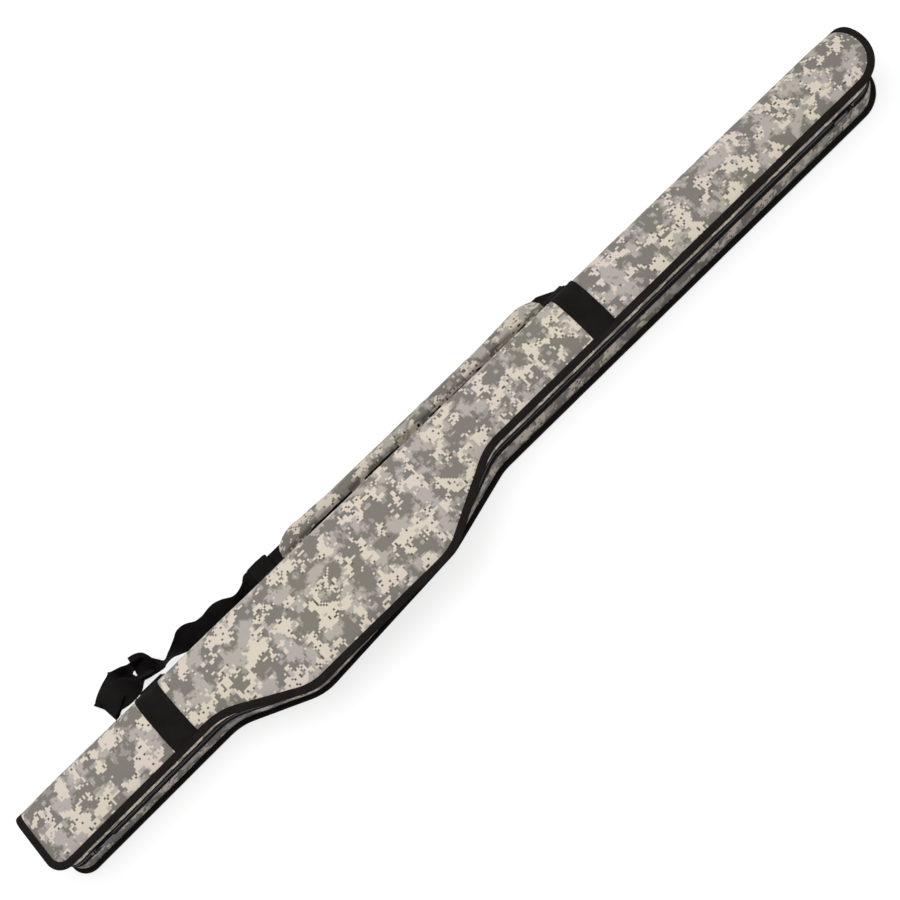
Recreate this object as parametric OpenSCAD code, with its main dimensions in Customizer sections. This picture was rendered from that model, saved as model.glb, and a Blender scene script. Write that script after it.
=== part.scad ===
// Semi-rigid rod case with a reel belly, lying on its back panel.
// +X runs from the butt (tail) end to the tip end, +Y towards the spine, +Z up.
// The origin is on the back face, half way along, level with the barrel's middle.

/* [Case] */
// Overall length
case_len = 1500; // [1200:10:1700]
// Overall depth, back face to front face
case_depth = 80; // [64:1:110]
// Width at the tail end, binding included
tail_w = 104; // [96:1:120]
// Width where the tail meets the belly
tail_neck_w = 100; // [94:1:116]
// Width at the reel belly
belly_w = 162; // [140:1:180]
// Width where the belly meets the barrel
tip_neck_w = 95; // [90:1:112]
// Width at the tip end
tip_w = 92; // [86:1:110]

/* [Belly] */
// Distance from the tail end to the foot of the belly's first ramp
ramp_in = 283; // [240:1:300]
// Distance from the tail end to the start of the flat belly
belly_start = 392; // [380:1:430]
// Distance from the tail end to the end of the flat belly
belly_end = 640; // [600:1:680]
// Distance from the tail end to the foot of the second ramp
ramp_out = 762; // [740:1:820]
// Radius where the ramps bend
ramp_r = 80; // [50:1:90]
// How far the back edge is tucked in under the belly, at its tail side
tuck_tail = 12; // [0:1:20]
// How far the back edge is tucked in under the belly, at its tip side
tuck_tip = 26; // [0:1:30]

/* [Ends] */
// Radius of the tail end's corner
tail_r = 25; // [15:1:40]
// Radius of the rounded tip
tip_r = 55; // [50:1:58]

/* [Walls] */
// Width of the bound seam that stands out round each panel
flange = 7; // [5:0.5:9]
// Thickness of the bound seam
flange_t = 4.5; // [3:0.5:6]
// Thickness of the padded side wall
wall_t = 5; // [4:0.5:7]
// Thickness of a panel's outer fabric and foam
cover_t = 3; // [2:0.5:4]
// Thickness of the stiffening board
board_t = 1.8; // [1:0.1:2.5]
// Thickness of the padded lining
lining_t = 2.7; // [2:0.1:4]
// Outer radius of the rounded spine edges
spine_r = 12; // [9:1:18]

/* [Zip] */
// Visible height of both fabric zip tapes and the coils between them
zip_h = 14; // [12:0.5:18]
// Height of the closed pair of coils
coil_h = 7; // [6:0.5:9]
// Length of a slider
slider_l = 17; // [14:1:22]
// Length of a pull tab
pull_l = 30; // [20:1:40]

/* [Webbing] */
// Width of the webbing
web_w = 38; // [32:1:40]
// Thickness of the webbing
web_t = 1.6; // [1.2:0.1:2.2]
// Middle of the tail band, from the tail end
tail_band_x = 231; // [200:1:235]
// Middle of the tip band, from the tail end
tip_band_x = 977; // [900:1:1050]
// Rod diameter of the strap rings
ring_rod = 4; // [3:0.5:5]

/* [Shoulder pad] */
// Length of the shoulder pad
pad_l = 484; // [400:1:488]
// Width of the shoulder pad
pad_w = 54; // [50:1:60]
// Thickness of the shoulder pad
pad_t = 12; // [9:0.5:15]

/* [Hidden] */

// Colours
camo = [0.62, 0.59, 0.53];
camo_dark = [0.50, 0.49, 0.46];
black = [0.07, 0.07, 0.075];
charcoal = [0.16, 0.16, 0.17];
board_grey = [0.32, 0.32, 0.32];
lining_grey = [0.25, 0.25, 0.26];
metal = [0.30, 0.30, 0.31];

// Levels and places
tail_x = -case_len / 2;
spine_y = 50;
mid_z = case_depth / 2;
seam_gap = 0.2;
board_margin = 3;
lean_room = 2.5;
arc_steps = 9;
far = 400;
top_over = 18;

// The outline's corners at level t, from 0 at the back face to 1 at the front,
// counter-clockwise, with the radius of each bend. x is measured from the
// tail end and y from the spine. The first and the last stand above the
// spine, where the outline is cut off.
function knots(t) = [
    [0, top_over, 0],
    [0, -tail_w, tail_r],
    [ramp_in, -tail_neck_w, ramp_r],
    [belly_start, -belly_w + tuck_tail * (1 - t), ramp_r],
    [belly_end, -belly_w + 1 + tuck_tip * (1 - t), ramp_r],
    [ramp_out, -tip_neck_w, ramp_r],
    [case_len, -tip_w, tip_r],
    [case_len, -tip_w + 2 * tip_r, tip_r]
];

function unit(v) = v / norm(v);
function left(v) = [-v[1], v[0]];
function xy(p) = [p[0], p[1]];
function turn(u, v) = u[0] * v[1] - u[1] * v[0];
function at(list, i) = list[(i + len(list)) % len(list)];

// Knot i moved inwards by d, its bend's radius kept parallel
function inset_knot(k, i, d) =
    let (u = unit(xy(at(k, i)) - xy(at(k, i - 1))))
    let (v = unit(xy(at(k, i + 1)) - xy(at(k, i))))
    let (n = (left(u) + left(v)) / (1 + left(u) * left(v)))
    let (p = xy(k[i]) + d * n)
    let (r = k[i][2])
    [p[0], p[1], r == 0 ? 0 : turn(u, v) > 0 ? r - d : r + d];

// The arc that rounds corner k between its neighbours a and b
function round_corner(a, k, b) =
    k[2] == 0 ? [xy(k)] :
    let (u = unit(xy(k) - xy(a)), v = unit(xy(b) - xy(k)))
    let (bend = atan2(turn(u, v), u * v))
    let (side = sign(bend), reach = k[2] * tan(abs(bend) / 2))
    let (centre = xy(k) - u * reach + left(u) * k[2] * side)
    let (start = atan2(-side * left(u)[1], -side * left(u)[0]))
    [for (s = [0 : arc_steps])
        centre + k[2] * [cos(start + bend * s / arc_steps), sin(start + bend * s / arc_steps)]];

function outline_points(d, t) =
    let (edge = knots(t))
    let (k = [for (i = [0 : len(edge) - 1]) inset_knot(edge, i, d)])
    [for (i = [0 : len(k) - 1]) each round_corner(at(k, i - 1), k[i], at(k, i + 1))];

// The case's outline d inside its edge at level t, up to a line cut below the spine
module outline(d, cut, t) {
    translate([tail_x, spine_y])
        intersection() {
            polygon(outline_points(d, t));
            translate([-far, -far]) square([case_len + 2 * far, far - cut]);
        }
}

module slab(d, cut, z0, z1, t) {
    translate([0, 0, z0]) linear_extrude(z1 - z0) outline(d, cut, t);
}

module rim(d0, d1, cut, z0, z1, t) {
    translate([0, 0, z0])
        linear_extrude(z1 - z0)
            difference() {
                outline(d0, cut, t);
                outline(d1, -top_over, t);
            }
}

// A wall between z0 and z1, d0 to d1 inside the edge, that follows the
// outline's lean. Its section has four corners, joined all the way round.
module leaning_rim(d0, d1, z0, z1) {
    corners = [[d0, z0], [d0, z1], [d1, z1], [d1, z0]];
    loops = [for (c = corners)
        [for (p = outline_points(c[0], c[1] / case_depth)) [p[0], p[1], c[1]]]];
    n = len(loops[0]);
    faces = [for (c = [0 : 3], i = [0 : n - 1])
        let (a = c * n, b = (c + 1) % 4 * n, j = (i + 1) % n)
        each [[a + i, b + i, b + j], [a + i, b + j, a + j]]];
    translate([tail_x, spine_y, 0]) polyhedron([for (l = loops) each l], faces);
}

// Mirrors a back part to the front, about the zip's middle height
module to_front() {
    translate([0, 0, case_depth]) mirror([0, 0, 1]) children();
}

// ---- Shells ----

module spine_profile(half) {
    intersection() {
        difference() {
            translate([-spine_r, 0]) square([spine_r, half]);
            difference() {
                translate([-spine_r, 0]) square([spine_r, spine_r]);
                translate([-spine_r, spine_r]) circle(r = spine_r, $fn = 64);
                translate([-spine_r - 1, 0]) square([1, spine_r]);
            }
            translate([-spine_r, spine_r]) circle(r = spine_r - wall_t, $fn = 64);
            translate([-spine_r - 1, spine_r]) square([1 + spine_r - wall_t, half]);
        }
        translate([-spine_r, 0]) square([spine_r, half]);
    }
}

// Half of the spine wall: flat, with one rounded edge
module spine_half() {
    intersection() {
        translate([tail_x, spine_y, 0])
            rotate([90, 0, 90])
                linear_extrude(case_len)
                    spine_profile(mid_z - seam_gap);
        slab(flange, -top_over + flange + 1, -1, case_depth + 1, 1);
    }
}

// Panel parts, on the back face. t is the level of the panel's outline.
module cover(t) { slab(flange, spine_r, 0, cover_t, t); }
module board(t) {
    slab(flange + wall_t + board_margin, spine_r + 1, cover_t, cover_t + board_t, t);
}
module lining(t) {
    z = cover_t + board_t;
    slab(flange + wall_t + seam_gap + lean_room, spine_r + 1, z, z + lining_t, t);
}
module binding(t) { rim(0, flange, spine_r / 2, 0, flange_t, t); }

module gusset(z0, z1) {
    difference() {
        leaning_rim(flange, flange + wall_t, z0, z1);
        translate([tail_x - 1, spine_y - wall_t, z0 - 1]) cube([case_len + 2, far, z1 - z0 + 2]);
        spine_half();
        to_front() spine_half();
    }
}

module zip_tape() {
    rim(flange + 1.5, flange + 3, wall_t + seam_gap, mid_z - zip_h / 2, mid_z - coil_h / 2, 0.5);
}

module zip_coil() {
    rim(flange + 0.8, flange + 3.6, wall_t + seam_gap, mid_z - coil_h / 2, mid_z - 0.1, 0.5);
}

module back_cover() { color(camo) cover(0); }
module back_board() { color(board_grey) board(0); }
module back_lining() { color(lining_grey) lining(0); }
module back_gusset() { color(camo_dark) gusset(cover_t, mid_z - zip_h / 2); }
module back_binding() { color(black) binding(0); }
module back_zip_tape() { color(black) zip_tape(); }
module back_zip_coil() { color(charcoal) zip_coil(); }
module back_spine() { color(camo) spine_half(); }

module front_cover() { color(camo) to_front() cover(1); }
module front_board() { color(board_grey) to_front() board(1); }
module front_lining() { color(lining_grey) to_front() lining(1); }
module front_gusset() {
    color(camo_dark) gusset(mid_z + zip_h / 2, case_depth - cover_t);
}
module front_binding() { color(black) to_front() binding(1); }
module front_zip_tape() { color(black) to_front() zip_tape(); }
module front_zip_coil() { color(charcoal) to_front() zip_coil(); }
module front_spine() { color(camo) to_front() spine_half(); }

// ---- Webbing bands over the front and the spine's front edge ----

// How far above the hinge line each band ends
band_up = 3;

module band_profile(width) {
    r = spine_r + web_t;
    difference() {
        union() {
            translate([-width + flange, case_depth]) square([width - flange - spine_r, web_t]);
            translate([0, mid_z + band_up]) square([web_t, mid_z - band_up - spine_r]);
            intersection() {
                translate([-spine_r, case_depth - spine_r]) circle(r = r, $fn = 64);
                translate([-spine_r, case_depth - spine_r]) square(r);
            }
        }
        translate([-spine_r, case_depth - spine_r]) circle(r = spine_r, $fn = 64);
    }
}

module band(x, width) {
    color(black)
        translate([tail_x + x - web_w / 2, spine_y, 0])
            rotate([90, 0, 90])
                linear_extrude(web_w)
                    band_profile(width);
}

module tail_band() { band(tail_band_x, tail_neck_w - 1); }
module tip_band() { band(tip_band_x, tip_w + 1); }

// ---- Strap rings and the tabs that hold them ----

tab_z = 24;
tab_foot = 7;
tab_h = 28;
ring_y = 6.5;
ring_in = 40;
ring_reach = 15;
ring_droop = 20;
eye_gap = 0.5;

module eye(width) {
    rotate([0, 90, 0])
        rotate([0, 0, 90])
            translate([0, 0, -width / 2])
                difference() {
                    cylinder(r = ring_rod / 2 + eye_gap + web_t, h = width, $fn = 48);
                    translate([0, 0, -1]) cylinder(r = ring_rod / 2 + eye_gap, h = width + 2, $fn = 48);
                }
}

module ring_tab(x) {
    tab_w = web_w - 1;
    color(black)
        translate([tail_x + x, spine_y, 0]) {
            translate([-tab_w / 2, 0, tab_foot]) cube([tab_w, web_t, tab_h]);
            difference() {
                translate([-tab_w / 2, web_t, tab_z - 1.2]) cube([tab_w, ring_y - web_t, 2.4]);
                translate([-tab_w, ring_y, tab_z])
                    rotate([0, 90, 0])
                        cylinder(r = ring_rod / 2 + eye_gap + web_t / 2, h = 2 * tab_w, $fn = 48);
            }
            translate([0, ring_y, tab_z]) eye(tab_w);
        }
}

// A rectangular ring of round rod, hanging out and down from its tab
module ring_bar(length) {
    rotate([0, 90, 0]) translate([0, 0, -length / 2]) cylinder(r = ring_rod / 2, h = length, $fn = 32);
}

module ring(x) {
    half = ring_in / 2 + ring_rod / 2;
    color(metal)
        translate([tail_x + x, spine_y + ring_y, tab_z])
            rotate([-ring_droop, 0, 0]) {
                ring_bar(2 * half);
                translate([0, ring_reach, 0]) ring_bar(2 * half);
                for (side = [-1, 1]) {
                    translate([side * half, 0, 0])
                        rotate([-90, 0, 0])
                            cylinder(r = ring_rod / 2, h = ring_reach, $fn = 32);
                    for (y = [0, ring_reach])
                        translate([side * half, y, 0]) sphere(r = ring_rod / 2, $fn = 32);
                }
            }
}

module tail_ring_tab() { ring_tab(tail_band_x); }
module tail_ring() { ring(tail_band_x); }
module tip_ring_tab() { ring_tab(tip_band_x); }
module tip_ring() { ring(tip_band_x); }

// ---- Zip sliders and pulls, on the straight stretches of the lower side ----

plate_t = 1.8;
pull_t = 1.6;
pull_w = 8;
bridge_w = 3;
bridge_gap = 2.6;
pin_r = 0.9;
tip_slider_x = case_len - 74;
tail_slider_x = 48;

// Places its children on the coil at x, with +X along the zip and +Y outwards
module on_zip(x) {
    tipward = x > belly_end;
    a = tipward ? [ramp_out, -tip_neck_w] : [0, -tail_w];
    b = tipward ? [case_len, -tip_w] : [ramp_in, -tail_neck_w];
    dir = unit(b - a);
    p = a + dir * ((x - a[0]) / dir[0]) + left(dir) * (flange + 0.8);
    translate([tail_x + p[0], spine_y + p[1], mid_z])
        rotate([0, 0, atan2(dir[1], dir[0])])
            mirror([0, 1, 0])
                children();
}

module slider() {
    color(metal) {
        translate([-slider_l / 2, 0.4, -coil_h / 2 - 1.8])
            cube([slider_l, plate_t, coil_h + 3.6]);
        translate([-slider_l / 2, -0.4, -coil_h / 2 - 1.8])
            cube([slider_l, 0.8, 1.3]);
        translate([-4.5, 0.4 + plate_t, -bridge_w / 2]) {
            cube([1.6, bridge_gap + 1.2, bridge_w]);
            translate([7.4, 0, 0]) cube([1.6, bridge_gap + 1.2, bridge_w]);
            translate([0, bridge_gap, 0]) cube([9, 1.2, bridge_w]);
        }
    }
}

// A flat tab whose end bar passes under the slider's bridge
module pull(dir) {
    y = 0.4 + plate_t + bridge_gap / 2;
    window = 7.5;
    color(metal)
        translate([0, y, 0])
            mirror([dir < 0 ? 1 : 0, 0, 0]) {
                translate([0, 0, -pull_w / 2]) cylinder(r = pin_r, h = pull_w, $fn = 24);
                for (side = [-1, 1])
                    translate([0, -pull_t / 2, side * (pull_w / 2 - 0.9) - 0.9])
                        cube([window, pull_t, 1.8]);
                translate([window, -pull_t / 2, -pull_w / 2]) cube([pull_l - window, pull_t, pull_w]);
            }
}

module tip_zip_slider() { on_zip(tip_slider_x) slider(); }
module tip_zip_pull() { on_zip(tip_slider_x) pull(-1); }
module tail_zip_slider() { on_zip(tail_slider_x) slider(); }
module tail_zip_pull() { on_zip(tail_slider_x) pull(1); }

// ---- Hook-and-loop rod ties on the back lining ----

tie_w = 25;
tie_l = 62;
tie_t = 2.4;
back_floor = cover_t + board_t + lining_t;

module rod_tie(x) {
    color(charcoal)
        translate([tail_x + x - tie_w / 2, spine_y - 18 - tie_l, back_floor])
            cube([tie_w, tie_l, tie_t]);
}

module rod_tie_tail() { rod_tie(150); }
module rod_tie_middle() { rod_tie(820); }
module rod_tie_tip() { rod_tie(1320); }

// ---- Shoulder strap, lying on the floor behind the spine ----

strap_y = spine_y + 28.5;
pad_x0 = -281;
pad_z = web_t + 0.3;

// The pad's lengthways section is a slab with rounded edges and ends
module shoulder_pad() {
    end_r = 14;
    edge_r = pad_t / 2 - 0.5;
    color(camo)
        translate([pad_x0, strap_y, pad_z])
            intersection() {
                linear_extrude(pad_t)
                    union() {
                        translate([end_r, -pad_w / 2]) square([pad_l - 2 * end_r, pad_w]);
                        translate([0, -pad_w / 2 + end_r]) square([pad_l, pad_w - 2 * end_r]);
                        for (x = [end_r, pad_l - end_r], y = [-1, 1])
                            translate([x, y * (pad_w / 2 - end_r)]) circle(r = end_r, $fn = 48);
                    }
                rotate([90, 0, 90])
                    linear_extrude(pad_l)
                        union() {
                            translate([-pad_w / 2 + edge_r, 0]) square([pad_w - 2 * edge_r, pad_t]);
                            translate([-pad_w / 2, edge_r]) square([pad_w, pad_t - 2 * edge_r]);
                            for (y = [-1, 1], z = [edge_r, pad_t - edge_r])
                                translate([y * (pad_w / 2 - edge_r), z]) circle(r = edge_r, $fn = 32);
                        }
            }
}

// Webbing swept along a route of [x, y, z, lean]. lean is how far the top
// edge leans towards +Y from upright, in degrees, so 90 is flat.
function dirs(r) =
    [for (i = [0 : len(r) - 1])
        let (a = r[max(i - 1, 0)], b = r[min(i + 1, len(r) - 1)])
        unit([b[0] - a[0], b[1] - a[1], b[2] - a[2]])];

function web_ring(p, t) =
    let (up = [0, sin(p[3]), cos(p[3])])
    let (w = unit(up - (up * t) * t) * web_w / 2)
    let (n = unit(cross(t, w)) * web_t / 2)
    let (c = [p[0], p[1], p[2]])
    [c - w - n, c + w - n, c + w + n, c - w + n];

module webbing(route) {
    t = dirs(route);
    n = len(route);
    points = [for (i = [0 : n - 1]) each web_ring(route[i], t[i])];
    sides = [for (i = [0 : n - 2], k = [0 : 3]) let (a = 4 * i + k, b = 4 * i + (k + 1) % 4)
        each [[a, b, b + 4], [a, b + 4, a + 4]]];
    ends = [[3, 2, 1, 0], [4 * n - 4, 4 * n - 3, 4 * n - 2, 4 * n - 1]];
    color(black) polyhedron(points, concat(ends, sides));
}

// A smooth curve through hand-placed points (Catmull-Rom)
curve_steps = 3;
function curve_at(a, b, c, d, t) =
    0.5 * (2 * b + (c - a) * t + (2 * a - 5 * b + 4 * c - d) * t * t
        + (3 * b - a - 3 * c + d) * t * t * t);
function smooth(r) =
    [for (i = [0 : len(r) - 2], s = [0 : curve_steps - (i == len(r) - 2 ? 0 : 1)])
        curve_at(r[max(i - 1, 0)], r[i], r[i + 1], r[min(i + 2, len(r) - 1)], s / curve_steps)];

adjuster_x = -311;

// From the adjuster along the spine, wavy, through a tight waist to a fan
TAIL_RUN_ROUTE = [
    [-343, 68, 18.2, 25], [-359, 67.5, 18.2, 25], [-377, 74, 15, 43], [-391, 78, 14.7, 45],
    [-408, 76, 14.7, 45], [-422, 78, 14.7, 45], [-436, 86, 16, 38], [-447, 86.5, 16.8, 35],
    [-457, 84, 19, 16], [-470, 82.5, 19.7, -4], [-482, 82, 19, -16], [-491, 86, 19.8, 6],
    [-498, 94, 18.7, 40], [-505, 104, 17, 66], [-513, 113, 15.5, 80]
];

// The slack loop beyond the tail ring, doubled back on itself
SLACK_ROUTE = [
    [-512, 101, 5.4, 88], [-525, 107, 6.2, 89], [-545, 110, 7, 90], [-563, 110, 6.6, 90],
    [-578, 107, 6.4, 90], [-589, 101.5, 6, 90], [-592, 100, 4.1, 90], [-589, 101.5, 2.2, 90],
    [-578, 105, 1.1, 90], [-560, 104, 1, 90], [-545, 101, 1, 90], [-515, 92, 1, 90]
];

// The second ply, on edge between the tail ring and the adjuster
RETURN_ROUTE = [[-494, 58, 19.4, 10], [-470, 58, 19.4, 10], [-342, 58, 19.4, 10]];

// Flat on the floor, folded off at a slant where it turns to the tip ring
module strap_webbing() {
    tail_end = adjuster_x - 30;
    tip_end = tail_x + tip_band_x + web_w / 2;
    near = strap_y - web_w / 2;
    outer = strap_y + web_w / 2;
    color(black)
        linear_extrude(web_t)
            polygon([
                [tail_end, near], [tip_end, near], [tip_end, outer - 17.5],
                [tip_end - 34, outer], [tail_end, outer]
            ]);
}

module strap_tail_run() { webbing(smooth(TAIL_RUN_ROUTE)); }
module strap_slack_loop() { webbing(smooth(SLACK_ROUTE)); }
module strap_return_ply() { webbing(smooth(RETURN_ROUTE)); }

// The turn of webbing round a ring's outer bar, with its sewn tongue
module strap_turn(x, tongue) {
    slope = 50;
    turn_r = ring_rod / 2 + eye_gap + web_t / 2;
    color(black)
        translate([
            tail_x + x,
            spine_y + ring_y + ring_reach * cos(ring_droop),
            tab_z - ring_reach * sin(ring_droop)
        ]) {
            rotate([180 - slope, 0, 0]) eye(web_w);
            rotate([-slope, 0, 0])
                translate([-web_w / 2, turn_r, -web_t / 2])
                    cube([web_w, tongue, web_t]);
        }
}

module strap_tip_turn() { strap_turn(tip_band_x, 17); }
module strap_tail_turn() { strap_turn(tail_band_x, 4); }

// A three-bar adjuster and the turn of webbing over its middle bar
adjuster_l = 30;
adjuster_w = 43;
adjuster_t = 4;
adjuster_z = 4;
bar_w = 5;

module strap_adjuster() {
    slot_l = (adjuster_l - 3 * bar_w) / 2;
    color(charcoal)
        translate([adjuster_x - adjuster_l / 2, strap_y - adjuster_w / 2, adjuster_z])
            difference() {
                cube([adjuster_l, adjuster_w, adjuster_t]);
                for (k = [0, 1])
                    translate([bar_w + k * (bar_w + slot_l), 2, -1])
                        cube([slot_l, adjuster_w - 4, adjuster_t + 2]);
            }
}

// The bulge of slack webbing over the adjuster, from the side
slack_l = 34;
slack_h = 8;

module slack_profile() {
    r = (slack_l * slack_l / 4 + slack_h * slack_h) / (2 * slack_h);
    difference() {
        intersection() {
            translate([0, slack_h - r]) circle(r = r, $fn = 96);
            translate([-slack_l, 0]) square([2 * slack_l, 2 * slack_h]);
        }
        intersection() {
            translate([0, slack_h - r]) circle(r = r - web_t, $fn = 96);
            translate([-slack_l, web_t]) square([2 * slack_l, 2 * slack_h]);
        }
    }
}

module adjuster_turn() {
    gap = 0.3;
    out_l = bar_w + 2 * (gap + web_t);
    out_h = adjuster_t + 2 * (gap + web_t) - 0.2;
    color(black)
        translate([adjuster_x, strap_y, adjuster_z + adjuster_t / 2]) {
            difference() {
                cube([out_l, web_w, out_h], center = true);
                cube([bar_w + 2 * gap, web_w + 2, adjuster_t + 2 * gap], center = true);
            }
            translate([0, 0, adjuster_t / 2 + gap])
                rotate([90, 0, 0])
                    linear_extrude(web_w, center = true)
                        slack_profile();
        }
}

back_cover();
back_board();
back_lining();
back_gusset();
back_binding();
back_zip_tape();
back_zip_coil();
back_spine();
front_cover();
front_board();
front_lining();
front_gusset();
front_binding();
front_zip_tape();
front_zip_coil();
front_spine();
tail_band();
tip_band();
tail_ring_tab();
tail_ring();
tip_ring_tab();
tip_ring();
tip_zip_slider();
tip_zip_pull();
tail_zip_slider();
tail_zip_pull();
rod_tie_tail();
rod_tie_middle();
rod_tie_tip();
shoulder_pad();
strap_webbing();
strap_adjuster();
adjuster_turn();
strap_tip_turn();
strap_tail_turn();
strap_tail_run();
strap_slack_loop();
strap_return_ply();
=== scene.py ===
"""Looks for the rod case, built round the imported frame. Lengths are in mm until a mesh is made."""

import math

import bpy
import numpy as np
from mathutils import Matrix, Vector, noise
from mathutils.geometry import delaunay_2d_cdt


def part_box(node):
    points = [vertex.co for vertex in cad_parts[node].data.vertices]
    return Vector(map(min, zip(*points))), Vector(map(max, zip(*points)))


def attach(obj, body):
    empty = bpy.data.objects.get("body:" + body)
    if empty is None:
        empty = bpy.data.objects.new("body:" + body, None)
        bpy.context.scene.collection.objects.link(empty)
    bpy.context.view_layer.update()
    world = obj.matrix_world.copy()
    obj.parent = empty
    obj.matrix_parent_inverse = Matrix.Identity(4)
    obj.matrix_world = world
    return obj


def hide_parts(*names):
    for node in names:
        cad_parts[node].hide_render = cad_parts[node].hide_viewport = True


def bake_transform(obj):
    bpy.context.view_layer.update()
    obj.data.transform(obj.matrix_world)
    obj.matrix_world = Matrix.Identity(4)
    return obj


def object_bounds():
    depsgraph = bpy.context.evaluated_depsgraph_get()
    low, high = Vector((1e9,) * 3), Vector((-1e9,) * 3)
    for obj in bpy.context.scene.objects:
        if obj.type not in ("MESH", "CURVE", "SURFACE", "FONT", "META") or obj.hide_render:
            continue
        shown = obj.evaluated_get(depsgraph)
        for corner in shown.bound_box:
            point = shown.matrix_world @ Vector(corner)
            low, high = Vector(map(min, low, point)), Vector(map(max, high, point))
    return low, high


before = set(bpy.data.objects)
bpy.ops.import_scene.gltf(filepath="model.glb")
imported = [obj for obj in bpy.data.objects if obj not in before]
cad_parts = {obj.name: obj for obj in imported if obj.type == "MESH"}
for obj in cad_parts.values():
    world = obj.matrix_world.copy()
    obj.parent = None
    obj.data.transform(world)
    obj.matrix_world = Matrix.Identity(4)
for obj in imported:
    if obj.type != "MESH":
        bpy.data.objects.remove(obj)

MM = 0.001
CAD_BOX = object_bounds()


def mm_box(node):
    low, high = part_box(node)
    return np.array(low) / MM, np.array(high) / MM


# ---- outline

TAIL_X, TIP_X, SPINE_Y, DEPTH, HINGE_Z = -750.0, 750.0, 50.0, 80.0, 40.0
SPINE_GAP = {False: 34.0, True: 46.0}
FLANGE = 7.0
NOSE_X, NOSE_Y, NOSE_R = 695.0, 13.0, 55.0
FRONT_R, BACK_R = 20.0, 13.0


def knots(t):
    """The outline's corners (x, y, radius) at level t, 0 at the back face and 1 at the front."""
    flare = 6 * max(0, 1 - 2 * t)
    return [
        (TAIL_X, 68, 0), (TAIL_X, -54, 25), (-467, -50, 80),
        (-358, -112 + 12 * (1 - t), 80), (-110, -111 + 26 * (1 - t), 80),
        (12, -45 - flare, 80), (TIP_X, -42 - flare, NOSE_R), (TIP_X, 68, 0),
    ]


def unit(v):
    return v / np.linalg.norm(v)


def units(rows):
    return rows / np.linalg.norm(rows, axis=1)[:, None]


def left(v):
    return np.array([-v[1], v[0]])


def cross2(a, b):
    return a[0] * b[1] - a[1] * b[0]


# How many steps each straight and each rounded corner of the outline is cut into, and each round end
STRAIGHTS = [24, 48, 12, 42, 12, 122, 1]
ARCS = [0, 12, 6, 8, 8, 6, 20]
PANEL_NOSE, WALL_NOSE = 24, 12


def lower_rail(d, t):
    """The outline d inside its edge, from the tail end's foot to the tip's middle."""
    k = knots(t)
    inset = []
    for i in range(1, 7):
        a, b, c = (np.array(k[j][:2], float) for j in (i - 1, i, i + 1))
        u, v = unit(b - a), unit(c - b)
        n = (left(u) + left(v)) / (1 + left(u) @ left(v))
        inset.append((b + d * n, u, v, k[i][2] - d * np.sign(cross2(u, v))))
    out, last = [], None
    for i, (p, u, v, r) in enumerate(inset):
        bend = math.atan2(cross2(u, v), u @ v)
        side = math.copysign(1, bend)
        reach = r * math.tan(abs(bend) / 2)
        first, centre = p - u * reach, p - u * reach + left(u) * r * side
        if last is not None:
            n = STRAIGHTS[i]
            out += [last + (first - last) * s / n for s in range(1, n)]
        a0 = math.atan2(*(-side * left(u))[::-1])
        n = ARCS[i + 1]
        out += [centre + r * np.array([math.cos(a0 + bend * s / n), math.sin(a0 + bend * s / n)])
                for s in range(n + 1)]
        last = out[-1]
    return out


class Side:
    """The curved surface of one panel: flat, then round the spine edge and along the spine wall.
    A point on it is (x, u), where u is y on the flat part and the distance along the section beyond."""

    def __init__(self, front):
        self.front = front
        self.t = 1.0 if front else 0.0
        self.r = FRONT_R if front else BACK_R
        self.bend_u = SPINE_Y - self.r
        self.wall_u = self.bend_u + self.r * math.pi / 2

    def section(self, u):
        """(y, z, normal y, normal z) at u."""
        u = np.asarray(u, float)
        a = np.clip((u - self.bend_u) / self.r, 0, math.pi / 2)
        y = np.where(u < self.bend_u, u, self.bend_u + self.r * np.sin(a))
        down = self.r * (1 - np.cos(a)) + np.maximum(u - self.wall_u, 0)
        ny, nz = np.sin(a), np.cos(a)
        if self.front:
            return y, DEPTH - down, ny, nz
        return y, down, ny, -nz

    def u_at(self, z):
        """u on the spine wall at height z."""
        return self.wall_u + (DEPTH - self.r - z if self.front else z - self.r)

    def place(self, x, u, h):
        y, z, ny, nz = self.section(u)
        return np.stack([np.broadcast_to(x, np.shape(y)), y + ny * h, z + nz * h], -1)

    def rail(self, d, u_top):
        """The outline d inside the edge, in (x, u), from the spine wall round to the spine wall."""
        low = lower_rail(d, self.t)
        n = STRAIGHTS[0]
        top = np.array([TAIL_X + d, u_top])
        out = [top + (low[0] - top) * s / n for s in range(n)] + low
        u0 = low[-1][1]
        for s in range(1, PANEL_NOSE + 1):
            u = u0 + (u_top - u0) * s / PANEL_NOSE
            y = float(self.section(u)[0])
            out.append(np.array([NOSE_X + math.sqrt((NOSE_R - d) ** 2 - (y - NOSE_Y) ** 2), u]))
        return np.array(out)


FRONT, BACK = Side(True), Side(False)


def wall_rail(d, z, y_top):
    """The outline d inside the edge at height z, in (x, y), up to y_top at both ends."""
    low = lower_rail(d, z / DEPTH)
    n = STRAIGHTS[0]
    top = np.array([TAIL_X + d, y_top])
    out = [top + (low[0] - top) * s / n for s in range(n)] + low
    r = NOSE_R - d
    end = math.asin(min(1.0, (y_top - NOSE_Y) / r))
    for s in range(1, WALL_NOSE + 1):
        a = end * s / WALL_NOSE
        out.append(np.array([NOSE_X + r * math.cos(a), NOSE_Y + r * math.sin(a)]))
    return np.array(out)


def lengths(points):
    steps = np.linalg.norm(np.diff(points, axis=0), axis=1)
    return np.concatenate([[0], np.cumsum(steps)])


def sample(at, s, rows):
    """What rows holds at length at, where s is the length at each row."""
    return np.array([np.interp(at, s, column) for column in np.transpose(rows)])


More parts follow.
